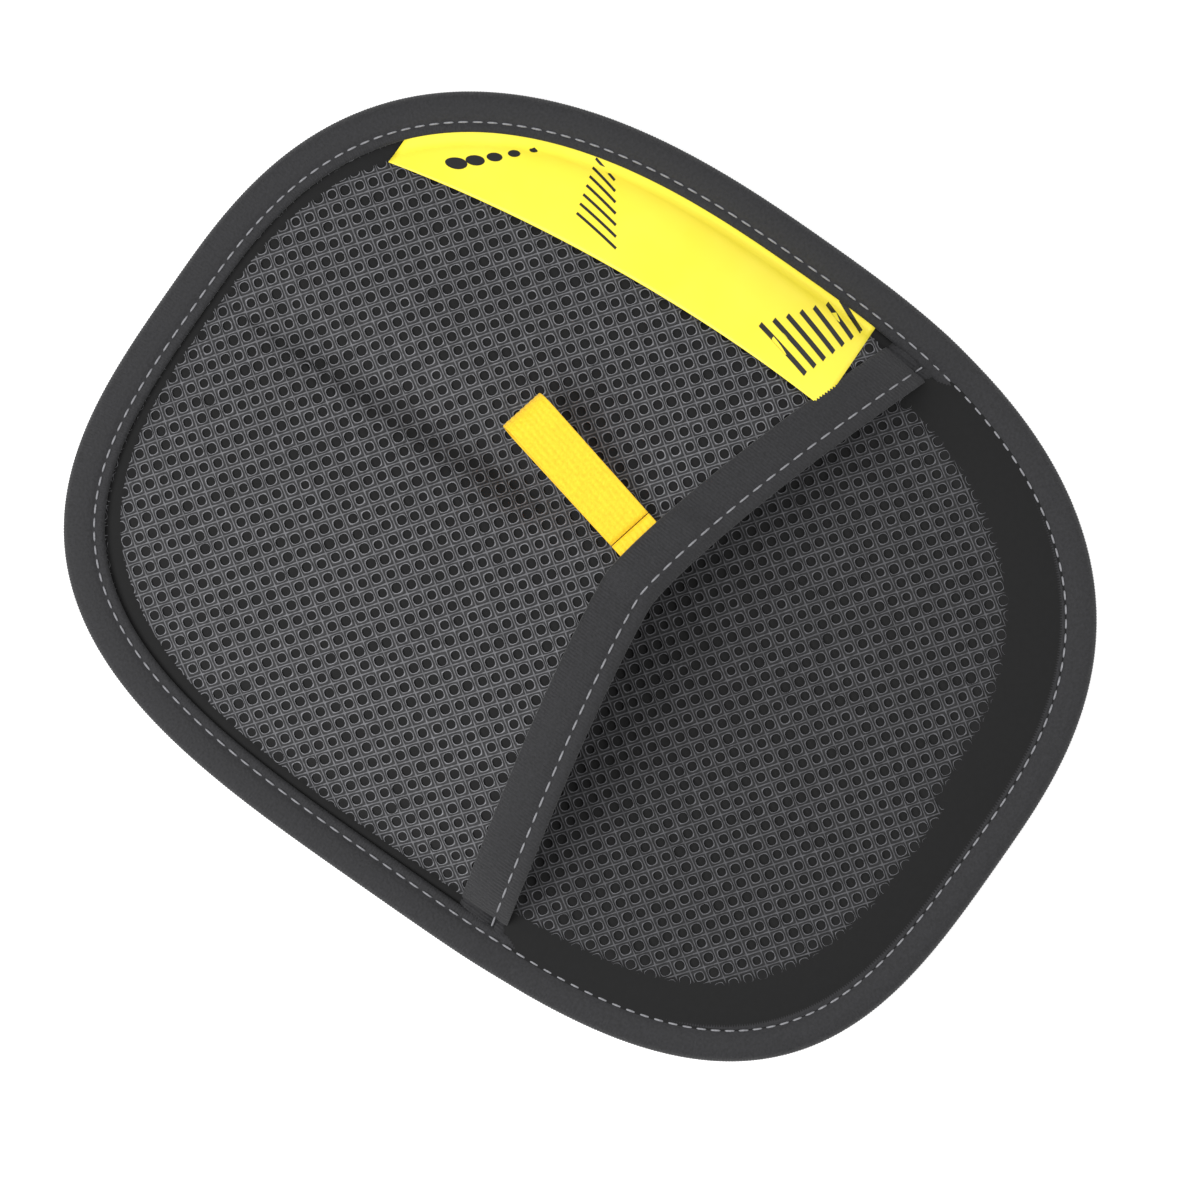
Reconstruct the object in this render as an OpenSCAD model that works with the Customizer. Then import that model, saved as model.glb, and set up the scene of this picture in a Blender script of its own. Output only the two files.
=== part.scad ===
// Oval grooming glove: a soft mitt with a rubber-tipped working face below, a foam core,
// and a bulged mesh pocket for the hand above. Woven tape binds the rim and the pocket's
// mouth, a smooth band lies along one side, and a webbing loop hangs the mitt up.
// Frame: +X across towards the band, +Y towards the fingertips, +Z up. The tips stand on z = 0.

/* [Mitt] */
// Width of the mitt
mitt_w = 197; // [185:1:210]
// Length from the wrist end to the fingertip end
mitt_l = 250; // [235:1:265]
// Squareness of the outline on the band's side (2 is an ellipse)
square_band = 2.6; // [2.3:0.1:3]
// Squareness of the outline on the plain side
square_plain = 3.3; // [2.8:0.1:3.6]

/* [Grooming pad] */
// Height of the rubber tips
tip_h = 4.5; // [3:0.5:6]
// Diameter of a tip at its root
tip_root_d = 3.6; // [3:0.1:4.5]
// Diameter of a tip at its flat end
tip_end_d = 2.2; // [1.6:0.1:2.6]
// Distance between neighbouring tips
tip_pitch = 10; // [9:0.5:14]
// Thickness of the rubber sheet
sheet_t = 1.2; // [1:0.1:2]

/* [Layers] */
// Thickness of the foam in the middle of the mitt
foam_t = 4; // [3:0.5:6]
// Thickness of the foam where the binding squeezes it
foam_rim_t = 1.2; // [0.8:0.1:1.6]
// Thickness of the base mesh
base_mesh_t = 0.8; // [0.6:0.1:1.2]
// Thickness of the pocket's lining
lining_t = 0.5; // [0.4:0.1:0.8]
// Thickness of the pocket's mesh
mesh_t = 0.8; // [0.6:0.1:1.2]
// Thickness of the band along the side
band_t = 0.5; // [0.3:0.1:0.6]

/* [Pocket] */
// Rise of the pocket over the back of the hand, at the mouth
rise_hand = 29; // [24:1:34]
// Rise of the pocket over the fingers
rise_fingers = 18; // [14:1:22]
// Depth of the fold beside the fingers
fold_depth = 4; // [0:0.5:5]
// Place of the mouth's edge at its middle, from the mitt's middle
mouth_y = -16; // [-22:1:-10]

/* [Binding tape] */
// Thickness of the tape
tape_t = 0.9; // [0.7:0.1:1.2]
// Lap of the tape over the rim
rim_lap = 10.5; // [9:0.5:11]
// Lap of the tape over the mouth's edge
mouth_lap = 12; // [10:0.5:13]

/* [Hang loop] */
// Width of the webbing
webbing_w = 12; // [10:0.5:14]
// Thickness of one ply of the webbing
webbing_t = 0.9; // [0.8:0.1:1]
// Length of the loop from its hinge line to its fold
loop_l = 39; // [34:1:44]
// Outer radius of the loop's fold
loop_r = 4.4; // [4:0.1:5]
// Distance of the loop's root from the mitt's middle line
loop_x = 11.5; // [9:0.5:14]

/* [Hidden] */

$fn = 32;

// Stations round the rim, in degrees, and the two where the mouth meets the rim.
step = 5;
corner_right = -25;
corner_left = 200;
stations = [for (q = [0 : step : 360 - step]) q];

// Stack at the rim, from the tips' ends up. The band lies a hair above the mesh.
ease = 0.1;
z_sheet = tip_h;
z_foam = z_sheet + sheet_t;
z_base = z_foam + foam_rim_t;
z_lining = z_base + base_mesh_t;
z_mesh = z_lining + lining_t;
z_band = z_mesh + mesh_t;
z_tape = z_band + ease + band_t;

// Distances in from the outer edge of the binding.
stack_edge = 1.2;
flat_edge = rim_lap + 0.6;
rise_edge = rim_lap + 2;
crown_edge = rim_lap + 3;
nose = 2.2;

// Tip grid, kept clear of the binding.
tip_margin = rim_lap + tip_root_d / 2 + 1.5;
tip_row = tip_pitch * sqrt(3) / 2;

// Mouth of the pocket: bow of its edge, number of stations along the tape, its folded edge.
mouth_bow = 1.3;
mouth_steps = 30;
mouth_nose = 1.5;
mouth_nose_corner = 1.1;
nose_bevel = 0.3;

// Shape over the hand: the slope from the knuckles, the fingers' ridge, the slack side
// beyond it, and the fold between them.
knuckle_y = -20;
hand_l = 110;
finger_x = -32;
finger_w = 28;
finger_share = 0.15;
slack_x = 10;
slack_w = 45;
slack_y = -10;
slack_l = 50;
slack_share = 0.22;
fold_x = 6;
fold_w = 8;
fold_from = 5;
fold_in = 25;
fold_to = 92;
fold_out = 20;
dome_power = 0.7;

// Hang loop: small gaps between webbing and mesh, and the angles that lay it on the pocket.
sew_gap = 0.4;
hinge_gap = 0.3;
loop_yaw = -13;
loop_roll = 3.3;
loop_pitch = -7;
tails_pitch = -4;
tails_l = 12;
loop_ahead = 3;
tails_t = 2 * webbing_t;
lift_half = webbing_w / 2 + 2;
lift_fade = 7;

function smooth(t) = let (c = min(1, max(0, t))) c * c * (3 - 2 * c);
function mix(a, b, t) = a + (b - a) * t;
function bell(t) = exp(-t * t);
function unit(v) = v / norm(v);
function squareness(x) = x >= 0 ? square_band : square_plain;

// ---- Outline: a superellipse, squarer on the plain side ----
function level(x, y, inset) =
    let (n = squareness(x))
    pow(abs(x) / (mitt_w / 2 - inset), n) + pow(abs(y) / (mitt_l / 2 - inset), n);
function rim(q) =
    let (n = squareness(cos(q)))
    [cos(q), sin(q)] * pow(pow(abs(cos(q)) / (mitt_w / 2), n) + pow(abs(sin(q)) / (mitt_l / 2), n), -1 / n);
function inward(q) = let (d = unit(rim(q + 2) - rim(q - 2))) [-d[1], d[0]];
function inset(q, d) = rim(q) + d * inward(q);

// ---- Pocket's shape ----
function dome(x, y) = pow(max(0, 1 - level(x, y, rise_edge)), dome_power);
function hand(x, y) =
    mix(rise_hand, rise_fingers, smooth((y - knuckle_y) / hand_l))
    * (1 + finger_share * bell((x - finger_x) / finger_w)
       - slack_share * smooth((x - slack_x) / slack_w) * smooth((y - slack_y) / slack_l))
    - fold_depth * bell((x - fold_x) / fold_w) * smooth((y - fold_from) / fold_in)
      * (1 - smooth((y - fold_to) / fold_out));
function bulge(p) = dome(p[0], p[1]) * hand(p[0], p[1]);

// ---- Edge of the pocket's mouth ----
function corner(x) = x >= 0 ? rim(corner_right) : rim(corner_left);
function mouth_edge(x) =
    let (c = corner(x)) [x, mouth_y - (mouth_y - c[1]) * pow(x / c[0], mouth_bow)];
function mouth_at(x, d) = mouth_edge(x) + [0, d];

// Angle between two stations at which the line d in from the mouth's edge meets the inset rim.
function meeting(q, q_in, in, d, tries = 12) =
    let (mid = (q + q_in) / 2, p = inset(mid, in))
    tries == 0 ? mid
    : p[1] < mouth_at(p[0], d)[1] ? meeting(mid, q_in, in, d, tries - 1) : meeting(q, mid, in, d, tries - 1);

skin_end = 0.3;
tape_end = 2.5;
mouth_left = inset(corner_left, flat_edge)[0];
mouth_right = inset(corner_right, flat_edge)[0];
tape_xs = [for (i = [0 : mouth_steps]) mix(mouth_left + tape_end, mouth_right - tape_end, i / mouth_steps)];
mouth_xs = concat([mouth_left + skin_end], tape_xs, [mouth_right - skin_end]);

// Boundary of the pocket, anticlockwise from the right corner, as rings of points.
arc_steps = (corner_left - corner_right) / step;
pocket_centre = [0, 48];
rim_insets = [stack_edge, rim_lap / 2, flat_edge];
mouth_insets = [0, mouth_lap / 2, mouth_lap];
shrinks = [0.95, 0.84, 0.68, 0.5, 0.28];
function pocket_edge_ring(k) =
    let (from = k == 0 ? corner_right : meeting(corner_right, 0, rim_insets[k], mouth_insets[k]),
         to = k == 0 ? corner_left : meeting(corner_left, 180, rim_insets[k], mouth_insets[k]))
    concat([for (i = [0 : arc_steps]) inset(mix(from, to, i / arc_steps), rim_insets[k])],
           [for (x = mouth_xs) mouth_at(x, mouth_insets[k])]);
inner_ring = pocket_edge_ring(2);
pocket_rings = concat(
    [for (k = [0 : 2]) pocket_edge_ring(k)],
    [for (s = shrinks) [for (p = inner_ring) pocket_centre + s * (p - pocket_centre)]]);

// Rings of the base layers, which follow the whole rim.
base_rings = concat(
    [for (d = [stack_edge, flat_edge, crown_edge]) [for (q = stations) inset(q, d)]],
    [for (s = [0.86, 0.7, 0.4]) [for (q = stations) s * inset(q, crown_edge)]]);
foam_rise = foam_t - foam_rim_t;
base_lifts = [0, 0, 0, 0.8, 1, 1];

// ---- Solids from rings, grids and swept sections ----
function at_heights(rings, heights) = [for (k = [0 : len(rings) - 1]) [for (i = [0 : len(rings[k]) - 1])
    [rings[k][i][0], rings[k][i][1], heights[k][i]]]];
function flatten(lists) = [for (l = lists) each l];

// Faces of one skin of rings closed by a centre point; first is the index of its first point.
function skin(n, rings, first, up) = [for (k = [0 : rings - 1]) for (i = [0 : n - 1])
    let (j = (i + 1) % n, a = first + k * n + i, b = first + k * n + j,
         c = k < rings - 1 ? a + n : first + rings * n, d = k < rings - 1 ? b + n : c)
    each k < rings - 1 ? (up ? [[a, d, b], [a, c, d]] : [[a, b, d], [a, d, c]])
                       : (up ? [[a, c, b]] : [[a, b, c]])];

module ring_layer(low, high, low_centre, high_centre) {
    n = len(low[0]);
    m = len(low);
    low_n = n * m + 1;
    wall = [for (i = [0 : n - 1]) let (j = (i + 1) % n)
        each [[i, low_n + i, low_n + j], [i, low_n + j, j]]];
    polyhedron(
        points = concat(flatten(low), [low_centre], flatten(high), [high_centre]),
        faces = concat(skin(n, m, 0, false), skin(n, m, low_n, true), wall));
}

// A patch of rows and columns with a lower and an upper skin.
module patch_layer(low, high) {
    rows = len(low);
    cols = len(low[0]);
    top = rows * cols;
    cells = [for (r = [0 : rows - 2]) for (c = [0 : cols - 2]) r * cols + c];
    round_trip = concat(
        [for (c = [0 : cols - 1]) c],
        [for (r = [1 : rows - 1]) r * cols + cols - 1],
        [for (c = [cols - 2 : -1 : 0]) (rows - 1) * cols + c],
        [for (r = [rows - 2 : -1 : 1]) r * cols]);
    polyhedron(
        points = concat(flatten(low), flatten(high)),
        faces = concat(
            [for (a = cells) each [[a, a + cols + 1, a + 1], [a, a + cols, a + cols + 1]]],
            [for (a = cells) each [[top + a, top + a + 1, top + a + cols + 1],
                                   [top + a, top + a + cols + 1, top + a + cols]]],
            [for (i = [0 : len(round_trip) - 1])
                let (a = round_trip[i], b = round_trip[(i + 1) % len(round_trip)])
                each [[a, top + b, top + a], [a, b, top + b]]]));
}

// Sections joined in turn. With no cap triangles the last section joins the first.
// The first strips are cut along the other diagonal, to lie flat on the skin that they cover.
module sweep(sections, cap = [], turned_strips = 0) {
    n = len(sections);
    m = len(sections[0]);
    last = len(cap) == 0 ? n - 1 : n - 2;
    sides = [for (s = [0 : last]) for (i = [0 : m - 1])
        let (j = (i + 1) % m, t = (s + 1) % n, a = s * m + i, b = s * m + j, c = t * m + i, d = t * m + j)
        each i < turned_strips ? [[a, b, c], [c, b, d]] : [[a, b, d], [a, d, c]]];
    end = (n - 1) * m;
    caps = [for (f = cap) each [[f[2], f[1], f[0]], [end + f[0], end + f[1], end + f[2]]]];
    polyhedron(points = flatten(sections), faces = concat(sides, caps));
}

// ---- Heights of the pocket's skins ----
function pocket_heights(z) = [for (ring = pocket_rings) [for (p = ring) z + bulge(p)]];
function pocket_peak(z) = [pocket_centre[0], pocket_centre[1], z + bulge(pocket_centre)];

module pocket_layer(z_low, z_high) {
    ring_layer(
        at_heights(pocket_rings, pocket_heights(z_low)),
        at_heights(pocket_rings, pocket_heights(z_high)),
        pocket_peak(z_low), pocket_peak(z_high));
}

// ---- Heights of the base layers ----
function base_heights(z, rise) = [for (k = [0 : len(base_rings) - 1])
    [for (p = base_rings[k]) z + rise * base_lifts[k]]];

module base_layer(z_low, z_high, rise_low, rise_high) {
    ring_layer(
        at_heights(base_rings, base_heights(z_low, rise_low)),
        at_heights(base_rings, base_heights(z_high, rise_high)),
        [0, 0, z_low + rise_low], [0, 0, z_high + rise_high]);
}

// ---- Sub-parts ----
module tip(x, y) {
    translate([x, y, 0]) cylinder(h = tip_h + sheet_t / 2, d1 = tip_end_d, d2 = tip_root_d);
}

module grooming_pad() color("#2b2b2d") {
    rows = ceil(mitt_l / 2 / tip_row);
    cols = ceil(mitt_w / 2 / tip_pitch);
    union() {
        translate([0, 0, z_sheet])
            linear_extrude(height = sheet_t) polygon([for (q = stations) inset(q, stack_edge)]);
        for (r = [-rows : rows]) for (c = [-cols : cols]) {
            x = (c + (abs(r) % 2) / 2) * tip_pitch;
            y = r * tip_row;
            if (level(x, y, tip_margin) < 1) tip(x, y);
        }
    }
}

module foam_pad() color("#1c1c1e") base_layer(z_foam, z_base, 0, foam_rise);

module base_mesh() color("#242426") base_layer(z_base, z_lining, foam_rise, foam_rise);

module pocket_lining() color("#101011") pocket_layer(z_lining, z_mesh);

module pocket_mesh() color("#1d1d1f") pocket_layer(z_mesh, z_band);

// Band: rows follow the rim's stations, columns run from under the binding to the free edge.
band_low = corner_right + 2 * step;
band_high = 60;
band_gap = 0.45;
band_rise = 4;
band_outer = 5;
band_blend = 8;
band_free_x = 63.4;
band_free_bow = 12.9;
band_bow_l = 104;
band_from_y = mouth_at(band_free_x, mouth_lap)[1] + 1;
band_to_y = mitt_l / 2 - 27;
function band_free(t) =
    let (y = mix(band_from_y, band_to_y, t)) [band_free_x - band_free_bow * pow(y / band_bow_l, 2), y];
function band_row(q) =
    let (t = (q - band_low) / (band_high - band_low),
         a = inset(q, flat_edge + band_rise), b = band_free(t))
    concat([inset(q, band_outer), inset(q, flat_edge), a], [for (s = [0.2, 0.45, 0.7, 1]) mix(a, b, s)]);
function band_z(p) = z_band + bulge(p) + mix(ease, band_gap, min(1, band_blend * dome(p[0], p[1])));

module label_band() color("#ffec3f") {
    rows = [for (q = [band_low : step : band_high]) band_row(q)];
    low = [for (row = rows) [for (p = row) [p[0], p[1], band_z(p)]]];
    high = [for (row = rows) [for (p = row) [p[0], p[1], band_z(p) + band_t]]];
    patch_layer(low, high);
}

// Binding round the rim: a C section with a rounded nose. Beyond the mouth it lies lower.
function over_pocket(q) = q <= corner_left || q >= 360 + corner_right;
function rim_section(q) =
    let (top = over_pocket(q) ? z_tape : z_lining, low = z_sheet, mid = (top + low) / 2)
    [for (p = [[rim_lap, top], [stack_edge, top], [stack_edge, low], [rim_lap, low],
               [rim_lap, low - tape_t], [nose, low - tape_t], [nose / 4, low], [0, mid],
               [nose / 4, top], [nose, top + tape_t], [rim_lap, top + tape_t]])
        let (xy = inset(q, p[0])) [xy[0], xy[1], p[1]]];

module edge_binding() color("#161617") sweep([for (q = stations) rim_section(q)]);

// Binding along the mouth: a C section round the pocket's edge, lifted over the loop's tails.
loop_root = mouth_at(loop_x, mouth_lap);
function lift(x) =
    (tails_t + 2 * sew_gap) * (1 - smooth((abs(x - loop_root[0]) - lift_half) / lift_fade));
function mouth_section(x) =
    let (up = lift(x), mid = (mesh_t + lining_t) / 2)
    [for (p = [[mouth_lap, up], [mouth_lap / 2, up], [0, up], [0, -mesh_t - lining_t],
               [mouth_lap / 2, -mesh_t - lining_t], [mouth_lap, -mesh_t - lining_t],
               [mouth_lap, -mesh_t - lining_t - tape_t], [mouth_lap / 2, -mesh_t - lining_t - tape_t],
               [0, -mesh_t - lining_t - tape_t], [-mouth_nose_corner, -mesh_t - lining_t - nose_bevel],
               [-mouth_nose, up / 2 - mid], [-mouth_nose_corner, up + nose_bevel], [0, up + tape_t], [mouth_lap / 2, up + tape_t],
               [mouth_lap, up + tape_t]])
        let (xy = mouth_at(x, p[0]), on = mouth_at(x, max(0, p[0])))
        [xy[0], xy[1], z_band + bulge(on) + p[1]]];

// Triangles that close a mouth section: upper lap, nose, lower lap.
mouth_cap = [[0, 1, 13], [0, 13, 14], [1, 2, 12], [1, 12, 13], [2, 11, 12], [2, 10, 11], [2, 3, 10],
             [3, 9, 10], [3, 8, 9], [3, 4, 7], [3, 7, 8], [4, 5, 6], [4, 6, 7]];

module mouth_binding() color("#161617") 
    sweep([for (x = tape_xs) mouth_section(x)], mouth_cap, 2);

// Hang loop: a teardrop of webbing that turns about a line just ahead of the mouth's binding.
hinge_xy = mouth_at(loop_x, mouth_lap + loop_ahead);
hinge_z = z_band + bulge(hinge_xy) + sew_gap + tails_t / 2;

module at_hinge(pitch) {
    translate([hinge_xy[0], hinge_xy[1], hinge_z])
        rotate([0, 0, loop_yaw]) rotate([0, loop_roll, 0]) rotate([pitch, 0, 0]) children();
}

// Side outline of two circles on one base line, joined by their common tangents.
function teardrop(start, length, r_root, r_fold) =
    let (turn = 2 * atan((r_fold - r_root) / (length - start)))
    concat([for (i = [0 : 12]) let (q = mix(-90, 90 + turn, i / 12))
                [length + r_fold * cos(q), r_fold + r_fold * sin(q)]],
           [for (i = [0 : 8]) let (q = mix(90 + turn, 270, i / 8))
                [start + r_root * cos(q), r_root + r_root * sin(q)]]);

module hang_loop() color("#ffd400") at_hinge(loop_pitch)
    translate([-webbing_w / 2, 0, -tails_t / 2])
        rotate([90, 0, 90]) linear_extrude(height = webbing_w) difference() {
            polygon(teardrop(0, loop_l - loop_r, tails_t / 2, loop_r));
            translate([0, webbing_t])
                polygon(teardrop(9, loop_l - loop_r, 0.1, loop_r - webbing_t));
        }

module loop_tails() color("#f2c400") at_hinge(tails_pitch)
    translate([-webbing_w / 2, -tails_l - tails_t / 2 - hinge_gap, -tails_t / 2])
        cube([webbing_w, tails_l, tails_t]);

grooming_pad();
foam_pad();
base_mesh();
pocket_lining();
pocket_mesh();
label_band();
edge_binding();
mouth_binding();
loop_tails();
hang_loop();
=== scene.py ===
"""Grooming glove: an oval mitt with a knit pocket, bound rim, label band and hang loop."""
import logging
from collections.abc import Callable
from dataclasses import dataclass
from enum import Enum
from math import cos, pi, radians, sin

import bmesh
import bpy
import numpy as np
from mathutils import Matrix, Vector

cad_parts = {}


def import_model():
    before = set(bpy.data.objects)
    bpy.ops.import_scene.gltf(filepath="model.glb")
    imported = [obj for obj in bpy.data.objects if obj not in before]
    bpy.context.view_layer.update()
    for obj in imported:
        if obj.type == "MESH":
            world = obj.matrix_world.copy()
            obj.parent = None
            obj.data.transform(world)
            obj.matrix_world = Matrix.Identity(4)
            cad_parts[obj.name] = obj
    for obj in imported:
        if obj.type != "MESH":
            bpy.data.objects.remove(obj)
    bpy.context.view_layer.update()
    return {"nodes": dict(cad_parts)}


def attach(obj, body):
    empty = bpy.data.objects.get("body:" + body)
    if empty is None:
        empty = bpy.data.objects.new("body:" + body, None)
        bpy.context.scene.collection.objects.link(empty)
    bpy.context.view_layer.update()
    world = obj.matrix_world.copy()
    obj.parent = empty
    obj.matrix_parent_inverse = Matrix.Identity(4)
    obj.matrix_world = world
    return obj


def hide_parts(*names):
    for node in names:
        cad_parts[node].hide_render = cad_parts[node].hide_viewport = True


log = logging.getLogger("mitt")

Field = Callable[[np.ndarray, np.ndarray], np.ndarray]

MM = 0.001
WIDTH, LENGTH = 197.0, 250.0
SQUARE_BAND, SQUARE_PLAIN = 2.6, 3.3
CORNER_RIGHT, CORNER_LEFT = -25.0, 200.0
MOUTH_Y, MOUTH_BOW, MOUTH_LAP = -16.0, 1.3, 12.0
# Heights of the flat layers at the rim, from the pad's sheet up to the tape.
Z_SHEET, Z_FOAM, Z_BASE, Z_LINING, Z_BAND, Z_TAPE = 4.5, 5.7, 6.9, 7.7, 9.0, 9.6
# The pocket's rise: over the hand at the mouth, and over the fingers.
RISE_HAND, RISE_FINGERS, RISE_EDGE, DOME_POWER = 29.0, 18.0, 12.5, 0.7
KNUCKLE_Y, HAND_L = -20.0, 110.0
FINGER_X, FINGER_W, FINGER_SHARE = -32.0, 28.0, 0.15
SLACK_X, SLACK_W, SLACK_Y, SLACK_L, SLACK_SHARE = 10.0, 45.0, -10.0, 50.0, 0.22
FOLD_DEPTH, FOLD_X, FOLD_STEEP_W, FOLD_FLAT_W = 6.0, 6.0, 6.0, 9.0
FOLD_FROM, FOLD_IN, FOLD_TO, FOLD_OUT = 5.0, 25.0, 92.0, 20.0
# The tape's lift over the loop's tails: height, half width and the length over which it fades.
TAIL_LIFT, TAIL_HALF, TAIL_FADE = 2.4, 8.0, 7.0
# The loop's hinge and the angles that lay it on the pocket.
LOOP_YAW, LOOP_ROLL, LOOP_PITCH, TAIL_PITCH = -13.0, 3.3, -7.0, -4.0
HINGE = np.array([11.5, -2.8223, 38.8488])
SEED = 11
# Camera: its height above the work and the width that it sees there, in metres, and its sensor in mm.
VIEW_DISTANCE, VIEW_WIDTH, SENSOR = 1.2, 0.2959, 36.0
FLOOR_HALF = 3000.0


class Body(str, Enum):
    """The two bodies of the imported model."""

    MITT = "mitt"
    LOOP = "loop"


def smooth(t: np.ndarray) -> np.ndarray:
    """Returns the smoothstep of t, clamped to 0..1."""
    c = np.clip(t, 0, 1)
    return c * c * (3 - 2 * c)


def bell(t: np.ndarray) -> np.ndarray:
    """Returns exp(-t squared)."""
    return np.exp(-t * t)


def level(x: np.ndarray, y: np.ndarray, inset: float) -> np.ndarray:
    """Returns the superellipse level of a point: 1 on the outline drawn inset mm inside the rim."""
    n = np.where(x >= 0, SQUARE_BAND, SQUARE_PLAIN)
    return (np.abs(x) / (WIDTH / 2 - inset)) ** n + (np.abs(y) / (LENGTH / 2 - inset)) ** n


def bulge(x: np.ndarray, y: np.ndarray) -> np.ndarray:
    """Returns the pocket's rise in mm: a dome over the hand, slack beside it and a fold by the fingers."""
    dome = np.maximum(0, 1 - level(x, y, RISE_EDGE)) ** DOME_POWER
    hand = RISE_HAND - (RISE_HAND - RISE_FINGERS) * smooth((y - KNUCKLE_Y) / HAND_L)
    slack = SLACK_SHARE * smooth((x - SLACK_X) / SLACK_W) * smooth((y - SLACK_Y) / SLACK_L)
    hand = hand * (1 + FINGER_SHARE * bell((x - FINGER_X) / FINGER_W) - slack)
    fold = FOLD_DEPTH * bell((x - FOLD_X) / np.where(x < FOLD_X, FOLD_STEEP_W, FOLD_FLAT_W))
    fold = fold * smooth((y - FOLD_FROM) / FOLD_IN) * (1 - smooth((y - FOLD_TO) / FOLD_OUT))
    return dome * (hand - fold)


def tail_lift(x: np.ndarray) -> np.ndarray:
    """Returns how far the mouth tape is lifted over the loop's tails at x."""
    return TAIL_LIFT * (1 - smooth((np.abs(x - HINGE[0]) - TAIL_HALF) / TAIL_FADE))


def rim(q: np.ndarray) -> np.ndarray:
    """Returns the rim's points at the angles q in degrees."""
    c, s = np.cos(np.radians(q)), np.sin(np.radians(q))
    n = np.where(c >= 0, SQUARE_BAND, SQUARE_PLAIN)
    r = ((np.abs(c) / (WIDTH / 2)) ** n + (np.abs(s) / (LENGTH / 2)) ** n) ** (-1 / n)
    return np.stack([c * r, s * r], -1)


def inset(q: np.ndarray, d: np.ndarray) -> np.ndarray:
    """Returns the points d mm inside the rim at the angles q."""
    a = rim(q + 2) - rim(q - 2)
    a = a / np.linalg.norm(a, axis=-1, keepdims=True)
    return rim(q) + np.asarray(d)[..., None] * np.stack([-a[..., 1], a[..., 0]], -1)


def mouth_y(x: np.ndarray) -> np.ndarray:
    """Returns the y of the pocket's mouth edge at x: a bow down to the rim's two corners."""
    right, left = rim(np.array(CORNER_RIGHT)), rim(np.array(CORNER_LEFT))
    cx, cy = np.where(x >= 0, right[0], left[0]), np.where(x >= 0, right[1], left[1])
    return MOUTH_Y - (MOUTH_Y - cy) * np.abs(x / cx) ** MOUTH_BOW


def linear(code: str) -> tuple:
    """Returns the linear RGBA of an sRGB hex colour."""
    v = [int(code[i : i + 2], 16) / 255 for i in (1, 3, 5)]
    return tuple(c / 12.92 if c <= 0.04045 else ((c + 0.055) / 1.055) ** 2.4 for c in v) + (1.0,)


def add(tree: bpy.types.NodeTree, kind: str, settings: dict, links: dict) -> bpy.types.Node:
    """Adds a node.

    Args:
        tree: The node tree.
        kind: The node's type name.
        settings: Attributes, or input sockets by index or name, and their values.
        links: Input sockets by index or name, and the output socket that feeds each.

    Returns:
        The node.
    """
    node = tree.nodes.new(kind)
    for key, value in settings.items():
        if isinstance(key, str) and hasattr(node, key):
            setattr(node, key, value)
        else:
            node.inputs[key].default_value = value
    for key, socket in links.items():
        tree.links.new(socket, node.inputs[key])
    return node


@dataclass(frozen=True)
class Finish:
    """A surface of two colours mixed by noise, with a fine relief from the same noise.

    noise is the pattern's scale per metre, so 1000 gives grains of about a millimetre. by_v draws the yarns
    of an open knit along the UV's second value, which runs from a hole (0) to the edge of its cell (1).
    """

    name: str
    dark: str
    light: str
    rough: float = 0.8
    noise: float = 400.0
    relief: float = 0.3
    by_v: bool = False
    sheen: float = 0.0

    def material(self) -> bpy.types.Material:
        """Builds the material."""
        mat = bpy.data.materials.new(self.name)
        mat.use_nodes = True
        t = mat.node_tree
        t.nodes.clear()
        coord = add(t, "ShaderNodeTexCoord", {}, {})
        noise = add(t, "ShaderNodeTexNoise", {"Scale": self.noise, "Detail": NOISE_DETAIL},
                    {"Vector": coord.outputs["Object"]}).outputs["Fac"]
        factor = self.yarns(t, coord, noise) if self.by_v else noise
        mix = add(t, "ShaderNodeMix", {"data_type": "RGBA"}, {0: factor})
        mix.inputs[6].default_value, mix.inputs[7].default_value = linear(self.dark), linear(self.light)
        bump = add(t, "ShaderNodeBump", {"Strength": self.relief, "Distance": RELIEF_M}, {"Height": noise})
        bsdf = add(t, "ShaderNodeBsdfPrincipled", {"Roughness": self.rough, "Sheen Weight": self.sheen},
                   {"Base Color": mix.outputs[2], "Normal": bump.outputs[0]})
        add(t, "ShaderNodeOutputMaterial", {}, {0: bsdf.outputs[0]})
        return mat

    def yarns(self, t: bpy.types.NodeTree, coord: bpy.types.Node,
              noise: bpy.types.NodeSocket) -> bpy.types.NodeSocket:
        """Adds the knit's yarns: a bright ring round each hole and a dimmer line at the cell's edge.

        Args:
            t: The node tree.
            coord: The Texture Coordinate node.
            noise: The noise that dulls the yarns here and there.

        Returns:
            The socket with the share of the light colour.
        """
        split = add(t, "ShaderNodeSeparateXYZ", {}, {0: coord.outputs["UV"]})
        ramp = add(t, "ShaderNodeValToRGB", {}, {0: split.outputs["Y"]})
        stops = ramp.color_ramp.elements
        for stop, grey in zip(stops, YARN_ENDS):
            stop.color = (grey, grey, grey, 1)
        for at, grey in YARN_STOPS:
            stops.new(at).color = (grey, grey, grey, 1)
        dulled = add(t, "ShaderNodeMath", {"operation": "MULTIPLY"}, {0: ramp.outputs[0], 1: noise})
        gain = add(t, "ShaderNodeMath", {"operation": "MULTIPLY", 1: YARN_GAIN}, {0: dulled.outputs[0]})
        return gain.outputs[0]


# Detail of every noise, and the height of every relief in metres.
NOISE_DETAIL, RELIEF_M = 3.0, 0.0003
# Brightness of a knit's yarns: at the hole and at the cell's edge, and at the stops between, and its gain.
# The dark stops between the ring and the cell's edge are the black ground, deepened by painted shade in the
# valleys.
YARN_ENDS, YARN_GAIN = (0.25, 0.45), 1.8
YARN_STOPS = ((0.14, 1.0), (0.3, 0.12), (0.75, 0.02), (0.9, 0.5))

# Warp-knitted polyester: black ground with light yarns, so the holes read as rings.
KNIT = Finish("polyester_mesh_knit", "#08080A", "#8C8C90", 0.75, 900.0, 0.4, True)
# The same knit on the floor of the pocket, darker all over: painted shade for the shadow that the raised
# mouth casts on it.
BASE_KNIT_PAINTED_SHADE = Finish("polyester_base_knit_painted_shade", "#060607", "#6E6E72", 0.8, 900.0, 0.4, True)
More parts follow.
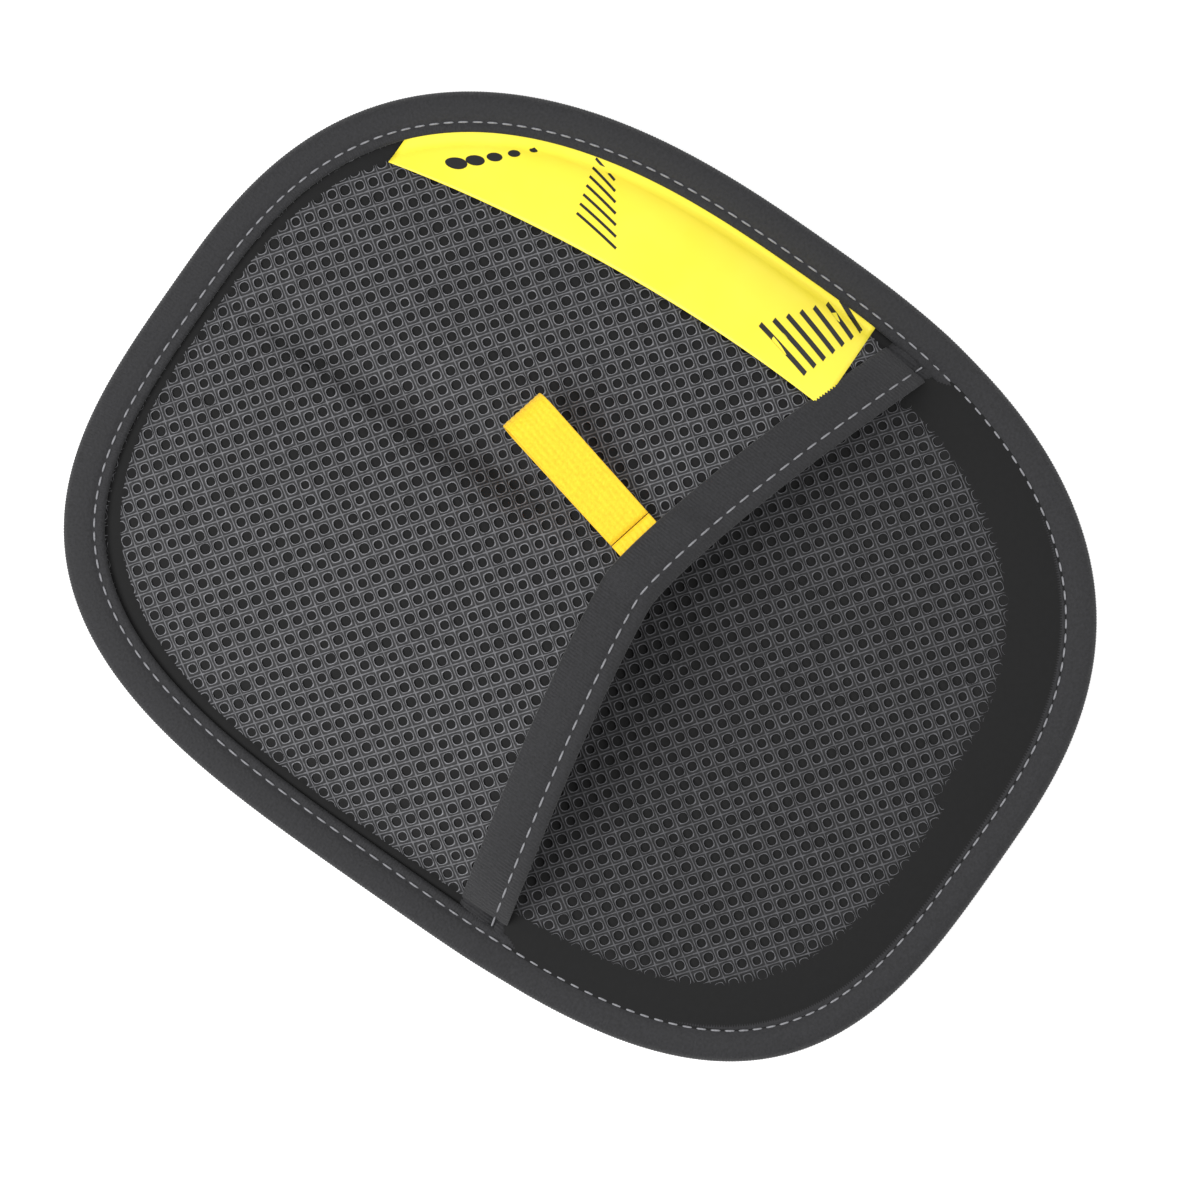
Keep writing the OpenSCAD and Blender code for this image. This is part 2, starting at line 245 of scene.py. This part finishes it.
# Closed black cloth: keeps the knit's holes dark.
LINING = Finish("black_lining_cloth", "#030303", "#0B0B0C", 0.9, 700.0, 0.2)
# Woven polyester tape: black, with a soft sheen on the roll.
TAPE = Finish("woven_binding_tape", "#0A0A0B", "#2C2C2F", 0.8, 1400.0, 0.9, sheen=0.1)
# Sewing thread: dark thread coloured pale grey as a painted highlight, in dashes on the black tape.
THREAD_PAINTED_HIGHLIGHT = Finish("thread_grey_painted_highlight", "#5A5A5E", "#A2A2A6", 0.6, 1800.0, 0.5)
# Coated film: smooth, even, bright yellow.
BAND = Finish("yellow_film_band", "#FBE52E", "#FFF04A", 0.45, 60.0, 0.05)
# Screen ink: flat black on the film.
INK = Finish("black_screen_ink", "#0C0C0C", "#1A1A1A", 0.5, 300.0, 0.1)
# Woven nylon webbing: warm yellow with paler flecks.
WEBBING = Finish("yellow_nylon_webbing", "#F2B400", "#FFDC20", 0.65, 1300.0, 0.7, sheen=0.1)
# Moulded silicone rubber: satin black.
RUBBER = Finish("black_silicone_rubber", "#0E0E0F", "#1B1B1D", 0.55, 300.0, 0.15)
# Open-cell foam: dull dark grey.
FOAM = Finish("grey_foam", "#2A2A2C", "#3B3B3E", 0.95, 900.0, 0.6)


def mesh_object(name: str, points: np.ndarray, faces: list, uv: np.ndarray | None = None,
                smooth_faces: bool = True) -> bpy.types.Object:
    """Makes an object at the origin.

    Args:
        name: The object's name.
        points: Its points in mm.
        faces: Its faces, each a list of point numbers.
        uv: A UV for each point, where the finish reads one.
        smooth_faces: Whether the faces are shaded smooth.

    Returns:
        The object.
    """
    data = bpy.data.meshes.new(name)
    data.from_pydata((np.asarray(points).reshape(-1, 3) * MM).tolist(), [], faces)
    if uv is not None:
        layer = data.uv_layers.new(name="UVMap")
        index = np.empty(len(data.loops), int)
        data.loops.foreach_get("vertex_index", index)
        layer.data.foreach_set("uv", np.asarray(uv)[index].astype(np.float32).ravel())
    data.polygons.foreach_set("use_smooth", np.full(len(data.polygons), smooth_faces))
    obj = bpy.data.objects.new(name, data)
    bpy.context.scene.collection.objects.link(obj)
    return obj


def grid_faces(rows: int, cols: int, wrap_rows: bool = False, wrap_cols: bool = False) -> np.ndarray:
    """Returns the quads of a grid of rows by cols points, closed in either direction on demand."""
    across = np.arange(cols if wrap_cols else cols - 1)
    i, j = np.meshgrid(np.arange(rows if wrap_rows else rows - 1), across, indexing="ij")
    a, b = (i + 1) % rows, (j + 1) % cols
    return np.stack([i * cols + j, a * cols + j, a * cols + b, i * cols + b], -1).reshape(-1, 4)


def tube_faces(rows: int, cols: int) -> list:
    """Returns the faces of a tube of rows rings of cols points, with a cap at each end."""
    caps = [list(range(cols)), list(range(rows * cols - 1, (rows - 1) * cols - 1, -1))]
    return grid_faces(rows, cols, False, True).tolist() + caps


def slab(name: str, top: np.ndarray, bottom: np.ndarray) -> bpy.types.Object:
    """Makes a closed slab between two grids of points of one shape, given as rows, columns, xyz."""
    rows, cols = top.shape[:2]
    n = rows * cols
    f = grid_faces(rows, cols)
    ring = np.concatenate([np.arange(cols), np.arange(2 * cols - 1, n, cols),
                           np.arange(n - 2, n - cols - 1, -1), np.arange(n - 2 * cols, 0, -cols)])
    after = np.roll(ring, -1)
    side = np.stack([ring, after, after + n, ring + n], -1)
    points = np.concatenate([top.reshape(-1, 3), bottom.reshape(-1, 3)])
    return face_out(mesh_object(name, points, np.concatenate([f, f[:, ::-1] + n, side]).tolist()))


def face_out(obj: bpy.types.Object) -> bpy.types.Object:
    """Turns a closed object's faces outward when its signed volume is negative."""
    b = bmesh.new()
    b.from_mesh(obj.data)
    bmesh.ops.recalc_face_normals(b, faces=b.faces)
    if b.calc_volume(signed=True) < 0:
        bmesh.ops.reverse_faces(b, faces=b.faces)
    b.to_mesh(obj.data)
    b.free()
    return obj


def dress(obj: bpy.types.Object, finish: Finish, slot: str, body: Body, *nodes: str) -> bpy.types.Object:
    """Dresses an object and logs it.

    Args:
        obj: The object.
        finish: Its finish.
        slot: The record's material slot; not used.
        body: The body that it rides on.
        nodes: The solids that it stands for.

    Returns:
        The object.
    """
    obj.data.materials.clear()
    obj.data.materials.append(finish.material())
    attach(obj, body.value)
    if nodes:
        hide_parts(*nodes)
    log.info("%s: %d faces", obj.name, len(obj.data.polygons))
    return obj


def pocket_grid(inner: float, rows: int, cols: int) -> tuple:
    """Returns x and y of a grid that fills the pocket: columns run from the mouth edge to the rim."""
    u = np.linspace(-1, 1, cols)
    half = WIDTH / 2 - inner
    x = half * np.sin(u * pi / 2) * 0.985
    n = np.where(x >= 0, SQUARE_BAND, SQUARE_PLAIN)
    end = (LENGTH / 2 - inner) * np.maximum(0, 1 - (np.abs(x) / half) ** n) ** (1 / n)
    start = np.minimum(mouth_y(x) + 1, end - 1)
    v = np.linspace(0, 1, rows)[:, None]
    return np.broadcast_to(x, (rows, cols)), start + (end - start) * v


@dataclass
class Knit:
    """An open knit: rows of round holes, each ringed by a raised yarn.

    Each cell is a ring of quads: its points lie on the hole's circle at t = 0 and on the cell's sides in a
    skewed lattice at t = 1, mixed in between, and neighbours share their sides. across and along are the
    lattice's steps in mm.
    """

    across: tuple = (2.85, -2.23)
    along: tuple = (2.13, 3.29)
    hole: float = 1.22
    segments: int = 12
    bands: tuple = (0.0, 0.15, 0.4, 0.75, 1.0)
    heights: tuple = (-0.35, 0.16, -0.22, -0.1, 0.08)

    def build(self, name: str, keep: Field, height: Field) -> bpy.types.Object:
        """Makes the knit.

        Args:
            name: The object's name.
            keep: Says which plan points carry a cell.
            height: Gives the height of the cloth in mm at plan points.

        Returns:
            The object, with its UV's second value running from a hole to the cell's edge.
        """
        i, j = np.meshgrid(np.arange(-90, 91), np.arange(-90, 91), indexing="ij")
        a, b = np.array(self.across), np.array(self.along)
        centre = i.reshape(-1, 1) * a + j.reshape(-1, 1) * b
        centre = centre[keep(centre[:, 0], centre[:, 1])]
        rng = np.random.default_rng(SEED)
        third = np.array([-0.5, -1 / 6, 1 / 6])
        half = np.full(3, 0.5)
        side = np.concatenate([np.stack([third, -half], -1), np.stack([half, third], -1),
                               np.stack([-third, half], -1), np.stack([-half, -third], -1)])
        edge = side[:, :1] * a + side[:, 1:] * b
        ray = edge / np.linalg.norm(edge, axis=1, keepdims=True)
        radius = self.hole * (1 + 0.06 * rng.standard_normal((len(centre), 1, 1)))
        hub = centre[:, None] + 0.1 * rng.standard_normal((len(centre), 1, 2))
        rings = []
        for t, h in zip(self.bands, self.heights):
            xy = (1 - t) * (hub + radius * ray) + t * (centre[:, None] + edge)
            rings.append(np.concatenate([xy, np.full(xy.shape[:2] + (1,), h)], -1))
        pts = np.stack(rings, 1)
        warp = 0.5 * np.stack([np.sin(pts[..., 1] / 17), np.sin(pts[..., 0] / 23)], -1)
        xy = pts[..., :2] + warp
        z = height(xy[..., 0], xy[..., 1]) + pts[..., 2]
        cell = grid_faces(len(self.bands), self.segments, wrap_cols=True)
        per = len(self.bands) * self.segments
        faces = (cell[None] + per * np.arange(len(centre))[:, None, None]).reshape(-1, 4)
        flat = np.concatenate([xy, z[..., None]], -1).reshape(-1, 3)
        v = np.broadcast_to(np.array(self.bands)[None, :, None], z.shape).reshape(-1)
        _, first, same = np.unique(np.round(flat, 3), axis=0, return_index=True, return_inverse=True)
        uv = np.stack([0 * v, v], -1)[first]
        faces = same.reshape(-1)[faces]
        obj = mesh_object(name, flat[first], faces[:, ::-1].tolist(), uv)
        if obj.data.polygons[0].normal.z < 0:
            obj.data.flip_normals()
        return obj


class Pocket:
    """The knit pocket over the hand with its dark lining."""

    def build(self) -> None:
        """Makes the lining sheet and the knit above it."""
        x, y = pocket_grid(5.0, 90, 110)
        z = Z_LINING + bulge(x, y)
        lining = slab("pocket_backing", np.stack([x, y, z + 0.5], -1), np.stack([x, y, z + 0.05], -1))
        dress(lining, LINING, "lining_cloth", Body.MITT, "pocket_lining")
        knit = Knit().build("pocket_knit", self.keep, lambda x, y: Z_BAND - 0.35 + bulge(x, y))
        dress(knit, KNIT, "mesh_knit", Body.MITT, "pocket_mesh")

    def keep(self, x: np.ndarray, y: np.ndarray) -> np.ndarray:
        """Returns where the knit's cells lie: inside the rim tape and beyond the mouth's edge."""
        return (level(x, y, 7.0) < 1) & (y > mouth_y(x) + 4)


class Base:
    """The padded floor of the pocket: foam, cloth and the knit seen at the wrist end."""

    def build(self) -> None:
        """Makes foam, cloth and knit."""
        r, q = np.meshgrid(np.linspace(0.001, 1, 30), np.arange(0, 360, 3.0), indexing="ij")
        edge = inset(q, np.full(q.shape, 1.6))
        x, y = edge[..., 0] * r, edge[..., 1] * r
        rise = 2.8 * smooth((1 - r) * 7)
        self.disc("foam_core", x, y, Z_SHEET + 1.2 + 0 * x, Z_FOAM + 1.15 + rise, FOAM, "foam", "foam_pad")
        cloth = self.disc("base_cloth", x, y, Z_BASE + rise, Z_BASE + 0.4 + rise, LINING, "base_knit",
                          "base_mesh")
        knit = Knit().build("base_knit", self.keep, self.top)
        # The floor's knit takes the darker finish: painted shade for the shadow under the mouth.
        dress(knit, BASE_KNIT_PAINTED_SHADE, "base_knit", Body.MITT)

    def disc(self, name: str, x: np.ndarray, y: np.ndarray, low: np.ndarray, high: np.ndarray,
             finish: Finish, slot: str, node: str) -> bpy.types.Object:
        """Makes a closed disc.

        Args:
            name: The object's name.
            x: The plan points' x, as rings from the middle outward.
            y: Their y.
            low: The height of the underside at each.
            high: The height of the top at each.
            finish: Its finish.
            slot: The record's material slot.
            node: The solid that it stands for.

        Returns:
            The object.
        """
        rows, cols = x.shape
        points = np.concatenate([np.stack([x, y, z], -1).reshape(-1, 3) for z in (high, low)])
        f = grid_faces(rows, cols, wrap_cols=True)
        n = rows * cols
        ring, k = np.arange(cols), np.arange((rows - 1) * cols, n)
        side = np.stack([k, np.roll(k, -1), np.roll(k, -1) + n, k + n], -1)
        hubs = [ring.tolist(), (ring[::-1] + n).tolist()]
        faces = np.concatenate([f, f[:, ::-1] + n, side]).tolist() + hubs
        return dress(face_out(mesh_object(name, points, faces)), finish, slot, Body.MITT, node)

    def keep(self, x: np.ndarray, y: np.ndarray) -> np.ndarray:
        """Returns where the floor's cells are seen: the wrist end and a little under the mouth."""
        return (level(x, y, 7.0) < 1) & (y < mouth_y(x) + 22)

    def top(self, x: np.ndarray, y: np.ndarray) -> np.ndarray:
        """Returns the height of the floor's knit, lower at the rim."""
        return Z_LINING + 2.9 * smooth((1 - level(x, y, 6.0)) * 2.2)


@dataclass
class Tape:
    """The binding tape round the rim and along the mouth, with ribs and a row of stitches."""

    rib: float = 0.75
    slant_rib: float = 0.78
    slant: float = 0.4
    pitch: float = 4.0
    dash: float = 2.9
    groove: float = 2.2
    row: float = 8.1

    def rim_points(self, q: np.ndarray, d: np.ndarray, z: np.ndarray) -> np.ndarray:
        """Returns points at the angles q, d mm inside the rim, at height z."""
        return np.concatenate([inset(q, d), z[..., None]], -1)

    def build_rim(self) -> None:
        """Makes the rim tape and its stitches.

        A C section is carried round the rim. Its outer roll and inner flange rise and fall with a cosine of
        the run along the rim, and its upper side lies lower beyond the mouth.
        """
        fine = np.linspace(0, 360, 7201)
        run = np.concatenate([[0], np.cumsum(np.linalg.norm(np.diff(rim(fine), axis=0), axis=1))])
        ribs = int(run[-1] / self.rib)
        s = np.linspace(0, run[-1], ribs * 3, endpoint=False)
        q = np.interp(s, run, fine)
        wave = 0.5 + 0.5 * np.cos(2 * pi * s / run[-1] * ribs)
        over = (q <= CORNER_LEFT) | (q >= 360 + CORNER_RIGHT)
        soft = np.convolve(np.pad(over.astype(float), 20, mode="wrap"), np.ones(41) / 41, "valid")
        lift = 1.9 * (soft - 1)
        # distance from the rim, height above the flange's middle, and the share of rib on each
        section = np.array([[10.6, 0.1, 0.2], [10.5, 0.75, 1], [9.6, 0.85, 1], [8.7, 0.8, 0.6],
                            [8.1, 0.35, 0], [7.5, 0.85, 0], [6.0, 1.1, 0.1], [4.2, 1.1, 0.1],
                            [2.6, 1.0, 0.4], [1.4, 0.55, 1], [0.5, -0.6, 1], [0.15, -2.4, 1],
                            [0.3, -4.4, 1], [1.2, -5.7, 0.6], [3.0, -5.95, 0.1], [9.5, -5.95, 0.1],
                            [10.4, -5.9, 0.1], [10.4, -5.2, 0]])
        d = np.broadcast_to(section[:, 0], (len(q), len(section))).copy()
        z = Z_TAPE + section[:, 1] * np.ones((len(q), 1))
        top = (section[:, 1] > -3).astype(float)
        z = z + lift[:, None] * top - 0.22 * (1 - wave)[:, None] * section[:, 2] * top
        d = d + 0.14 * (1 - wave)[:, None] * section[:, 2] * (section[:, 0] < 2)
        points = self.rim_points(np.broadcast_to(q[:, None], d.shape), d, z)
        v = np.broadcast_to(np.linspace(0, 1, len(section)), d.shape)
        u = np.broadcast_to((s * MM)[:, None], d.shape)
        faces = grid_faces(len(q), len(section), True, True).tolist()
        rim_tape = mesh_object("rim_tape", points, faces, np.stack([u, v], -1).reshape(-1, 2))
        dress(face_out(rim_tape), TAPE, "binding_tape", Body.MITT, "edge_binding")
        at = np.arange(0, run[-1] - 3, self.pitch)
        first, last = np.interp(at, run, fine), np.interp(at + self.dash, run, fine)
        height = Z_TAPE + 0.72 + np.interp(first, q, lift)
        start = self.rim_points(first, np.full(first.shape, self.row), height)
        end = self.rim_points(last, np.full(first.shape, self.row), height)
        # The rim's stitches are pale grey thread: a painted highlight on dark thread.
        dress(stitches("rim_stitches", start, end), THREAD_PAINTED_HIGHLIGHT, "binding_tape", Body.MITT)

    def build_mouth(self) -> None:
        """Makes the mouth tape and its stitches.

        A closed section is carried along the mouth on the pocket's rise. Its ribs are a cosine of x plus a
        share of the distance from the edge, which slants them.
        """
        x = np.linspace(-93.0, 91.0, 1180)
        # distance from the mouth's edge, height above the cloth, and the share of rib on each
        section = np.array([[-1.5, -0.6, 0.6], [-1.4, 0.4, 1], [-0.4, 1.0, 1], [1.2, 1.15, 1],
                            [2.2, 0.6, 0.3], [3.0, 1.1, 1], [5.0, 1.45, 1], [8.0, 1.5, 1],
                            [10.5, 1.2, 1], [11.8, 0.7, 1], [12.0, 0.05, 0.2], [6.0, -0.2, 0],
                            [0.0, -0.3, 0], [0.0, -1.9, 0], [6.0, -2.0, 0], [11.9, -2.0, 0],
                            [11.9, -2.3, 0], [0.0, -2.4, 0], [-1.3, -1.6, 0.3]])
        d = np.broadcast_to(section[:, 0], (len(x), len(section)))
        wave = 0.5 + 0.5 * np.cos(2 * pi * (x[:, None] + self.slant * d) / self.slant_rib)
        px = np.broadcast_to(x[:, None], d.shape)
        py = mouth_y(px) + d
        over = tail_lift(px) * (section[:, 1] > -0.1) * (d > 1)
        ends = smooth((px + 95) / 8) * smooth((93 - px) / 8)
        z = Z_BAND + bulge(px, mouth_y(px) + np.maximum(0, d)) + section[:, 1] * (0.4 + 0.6 * ends) + over
        z = z - 0.25 * (1 - wave) * section[:, 2]
        pts = np.stack([px, py, z], -1)
        tape = mesh_object("mouth_tape", pts, tube_faces(len(x), len(section)))
        dress(face_out(tape), TAPE, "binding_tape", Body.MITT, "mouth_binding")
        start = np.arange(-88.0, 86.0, self.pitch)
        thread = stitches("mouth_stitches", self.mouth_groove(start), self.mouth_groove(start + self.dash))
        # The mouth's stitches are pale grey thread: a painted highlight on dark thread.
        dress(thread, THREAD_PAINTED_HIGHLIGHT, "binding_tape", Body.MITT)

    def mouth_groove(self, x: np.ndarray) -> np.ndarray:
        """Returns the points of the mouth tape's stitched groove at x."""
        y = mouth_y(x) + self.groove
        return np.stack([x, y, Z_BAND + 0.85 + bulge(x, y) + tail_lift(x)], -1)


def stitches(name: str, start: np.ndarray, end: np.ndarray) -> bpy.types.Object:
    """Makes one rounded thread dash from each start to each end, sunk at both ends."""
    t = np.array([0, 0.15, 0.5, 0.85, 1.0])
    a = np.linspace(0, 2 * pi, 6, endpoint=False)
    run = end - start
    side = np.cross(run, [0, 0, 1.0])
    side /= np.linalg.norm(side, axis=1, keepdims=True)
    radius = np.array([0.08, 0.24, 0.27, 0.24, 0.08])
    middle = start[:, None] + run[:, None] * t[None, :, None]
    middle[..., 2] += np.array([-0.35, -0.02, 0.05, -0.02, -0.35])
    ring = (side[:, None, None] * np.cos(a)[None, None, :, None]
            + np.array([0, 0, 1.0]) * np.sin(a)[None, None, :, None]) * radius[None, :, None, None]
    pts = middle[:, :, None] + ring
    n, per = len(start), len(t) * len(a)
    faces = grid_faces(len(t), len(a), wrap_cols=True)[None] + per * np.arange(n)[:, None, None]
    faces = faces.reshape(-1, 4)
    first = np.arange(len(a))
    caps = np.stack([np.stack([first, first[::-1] + per - len(a)])] * n) + per * np.arange(n)[:, None, None]
    faces = faces.tolist() + caps.reshape(-1, len(a)).tolist()
    return face_out(mesh_object(name, pts, faces))


class SideBand:
    """The yellow band along one side with a generic black print."""

    def free_edge(self, y: np.ndarray) -> np.ndarray:
        """Returns the x of the band's inner edge at y."""
        return 63.4 - 12.9 * (y / 104) ** 2

    def place(self, u: np.ndarray, y: np.ndarray, up: float) -> np.ndarray:
        """Returns points at the share u from the free edge to the rim, at y, up mm above the knit."""
        reach = np.maximum(0, 1 - (np.abs(y) / (LENGTH / 2 - 6)) ** SQUARE_BAND)
        outer = (WIDTH / 2 - 6) * reach ** (1 / SQUARE_BAND)
        x = self.free_edge(y) + (outer - self.free_edge(y)) * u
        return np.stack([x, y, Z_BAND + bulge(x, y) + up], -1)

    def build(self) -> None:
        """Makes the band as a thin closed sheet, with dots and bars of ink on it."""
        low = float(mouth_y(np.array(63.4))) + 9
        u, y = np.meshgrid(np.linspace(0, 1, 24), np.linspace(low, 98, 90), indexing="ij")
        band = slab("side_band", self.place(u, y, 0.85), self.place(u, y, 0.4))
        dress(band, BAND, "band_film", Body.MITT, "label_band")
        prints = []
        for k in range(5):  # graduated dots near the fingertips
            prints.append(self.dot(0.30 + 0.10 * k, 84 - 3.4 * k, 2.6 - 0.4 * k))
        for k in range(7):  # slanted bars in the middle and near the mouth
            prints.append(self.bar(0.22 + 0.09 * k, 46 + 1.2 * k, 0.8, 13 - k))
            prints.append(self.bar(0.2 + 0.1 * k, -8 - 1.5 * k, 1.5, 16 - 1.2 * k))
        ends = np.cumsum([0] + [len(ring) for ring in prints])
        faces = [list(range(low, high)) for low, high in zip(ends[:-1], ends[1:])]
        ink = mesh_object("band_print", np.concatenate(prints), faces, smooth_faces=False)
        if sum(p.normal.z for p in ink.data.polygons) < 0:
            ink.data.flip_normals()
        dress(ink, INK, "band_film", Body.MITT)

    def dot(self, u: float, y: float, radius: float) -> np.ndarray:
        """Returns the ring of a dot's points."""
        a = np.linspace(0, 2 * pi, 24, endpoint=False)
        return self.place(u + radius * np.cos(a) / 34, y + radius * np.sin(a), 0.93)

    def bar(self, u: float, y: float, width: float, length: float) -> np.ndarray:
        """Returns the ring of a slanted bar's points."""
        t = np.linspace(-0.5, 0.5, 8)
        uu = np.concatenate([u - width / 68 + 0.12 * t, (u + width / 68 + 0.12 * t)[::-1]])
        return self.place(uu, y + np.concatenate([t, t[::-1]]) * length, 0.93)


def turn(points: np.ndarray, pitch: float) -> np.ndarray:
    """Returns loop points placed at the hinge: pitched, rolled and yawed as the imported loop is."""
    p, r, w = radians(pitch), radians(LOOP_ROLL), radians(LOOP_YAW)
    pitch_m = np.array([[1, 0, 0], [0, cos(p), -sin(p)], [0, sin(p), cos(p)]])
    roll_m = np.array([[cos(r), 0, sin(r)], [0, 1, 0], [-sin(r), 0, cos(r)]])
    yaw_m = np.array([[cos(w), -sin(w), 0], [sin(w), cos(w), 0], [0, 0, 1]])
    return points @ (yaw_m @ roll_m @ pitch_m).T + HINGE


@dataclass
class HangLoop:
    """The folded webbing: a teardrop loop that turns at its root, and its two sewn tails."""

    width: float = 12.0
    ply: float = 0.9
    length: float = 39.0
    fold: float = 4.4

    def strip(self, name: str, path: np.ndarray, normal: np.ndarray, pitch: float) -> bpy.types.Object:
        """Makes a ribbed strip of webbing along a path in the loop's side plane."""
        across = np.linspace(-0.5, 0.5, 49)
        rib = 0.1 * np.cos(2 * pi * across * 8)
        half = self.ply / 2 - 0.05 + rib * 0.6 - 0.25 * (np.abs(across) > 0.49)
        profile = np.concatenate([np.stack([across, half], -1), np.stack([across, -half], -1)[::-1]])
        mid = path[:, None] + normal[:, None] * profile[None, :, 1:]
        x = np.broadcast_to(profile[:, 0] * self.width, mid.shape[:2])
        pts = turn(np.stack([x, mid[..., 0], mid[..., 1]], -1), pitch)
        return face_out(mesh_object(name, pts, tube_faces(len(path), len(profile))))

    def build(self) -> None:
        """Makes the loop on its own body and the tails on the mitt."""
        end, r = self.length - self.fold, self.fold - self.ply / 2
        y = np.linspace(0.2, end, 24)
        q = np.linspace(-pi / 2, pi / 2 + 0.2, 22)
        low = np.stack([y, 0 * y - 0.45], -1)
        arc = np.stack([end + r * np.cos(q), r - 0.45 + r * np.sin(q)], -1)
        t = np.linspace(0, 1, 24)[1:, None]
        back = arc[-1] + (np.array([0.2, 0.45]) - arc[-1]) * t
        path = np.concatenate([low, arc[1:], back])
        tangent = np.gradient(path, axis=0)
        tangent /= np.linalg.norm(tangent, axis=1, keepdims=True)
        normal = np.stack([tangent[:, 1], -tangent[:, 0]], -1)
        loop = self.strip("hang_webbing", path, normal, LOOP_PITCH)
        dress(loop, WEBBING, "webbing", Body.LOOP, "hang_loop")
        y = np.linspace(-13.2, -0.1, 12)
        up = np.stack([0 * y, 1 + 0 * y], -1)
        for k, z in enumerate((-0.45, 0.45)):
            tail = self.strip(f"webbing_tail_{k + 1}", np.stack([y, 0 * y + z], -1), up, TAIL_PITCH)
            dress(tail, WEBBING, "webbing", Body.MITT, *(("loop_tails",) if k == 0 else ()))


class Studio:
    """The camera, square above the mitt and turned so that it lies aslant, two lamps and a white floor."""

    def build(self) -> None:
        """Makes the stage."""
        scene = bpy.context.scene
        scene.view_settings.view_transform = "Standard"
        cam = bpy.data.objects.new("camera", bpy.data.cameras.new("camera"))
        cam.data.lens, cam.data.sensor_width = SENSOR * VIEW_DISTANCE / VIEW_WIDTH, SENSOR
        cam.location = (-0.0065, -0.0066, 1.21)
        cam.rotation_euler = (0, 0, radians(-55))
        scene.collection.objects.link(cam)
        scene.camera = cam
        lamps = (("key", (-0.7, 0.5, 1.0), 0.9, 16), ("fill", (0.8, -0.5, 0.9), 1.2, 8))
        for name, at, size, power in lamps:
            light = bpy.data.objects.new(name, bpy.data.lights.new(name, "AREA"))
            light.data.size, light.data.energy = size, power
            light.location = at
            light.rotation_euler = self.aim(at)
            scene.collection.objects.link(light)
        world = bpy.data.worlds.new("studio")
        scene.world = world
        world.use_nodes = True
        world.node_tree.nodes["Background"].inputs[0].default_value = (1, 1, 1, 1)
        world.node_tree.nodes["Background"].inputs[1].default_value = 0.55
        corners = FLOOR_HALF * np.array([[-1, -1, 0], [1, -1, 0], [1, 1, 0], [-1, 1, 0]])
        floor = mesh_object("floor", corners, [[0, 1, 2, 3]])
        floor.data.materials.append(self.floor_material())

    def aim(self, at: tuple) -> tuple:
        """Returns the rotation that points a light at the origin."""
        return tuple((-Vector(at)).to_track_quat("-Z", "Y").to_euler())

    def floor_material(self) -> bpy.types.Material:
        """Builds a white floor that keeps a faint shadow and glows to the camera alone."""
        mat = bpy.data.materials.new("white_floor")
        mat.use_nodes = True
        t = mat.node_tree
        t.nodes.clear()
        path = add(t, "ShaderNodeLightPath", {}, {})
        glow = add(t, "ShaderNodeEmission", {"Color": (1, 1, 1, 1), "Strength": 0.5}, {})
        plain = add(t, "ShaderNodeBsdfDiffuse", {"Color": (0.85, 0.85, 0.85, 1)}, {})
        both = add(t, "ShaderNodeAddShader", {}, {0: glow.outputs[0], 1: plain.outputs[0]})
        mix = add(t, "ShaderNodeMixShader", {},
                  {0: path.outputs["Is Camera Ray"], 1: plain.outputs[0], 2: both.outputs[0]})
        add(t, "ShaderNodeOutputMaterial", {}, {0: mix.outputs[0]})
        return mat


def main() -> None:
    """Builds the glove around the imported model, piece by piece."""
    logging.basicConfig(level=logging.INFO)
    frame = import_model()
    Studio().build()
    Base().build()
    Pocket().build()
    tape = Tape()
    tape.build_rim()
    tape.build_mouth()
    SideBand().build()
    HangLoop().build()
    pad = frame["nodes"]["grooming_pad"]
    pad.data.materials.clear()
    pad.data.materials.append(RUBBER.material())


if __name__ == "__main__":
    main()
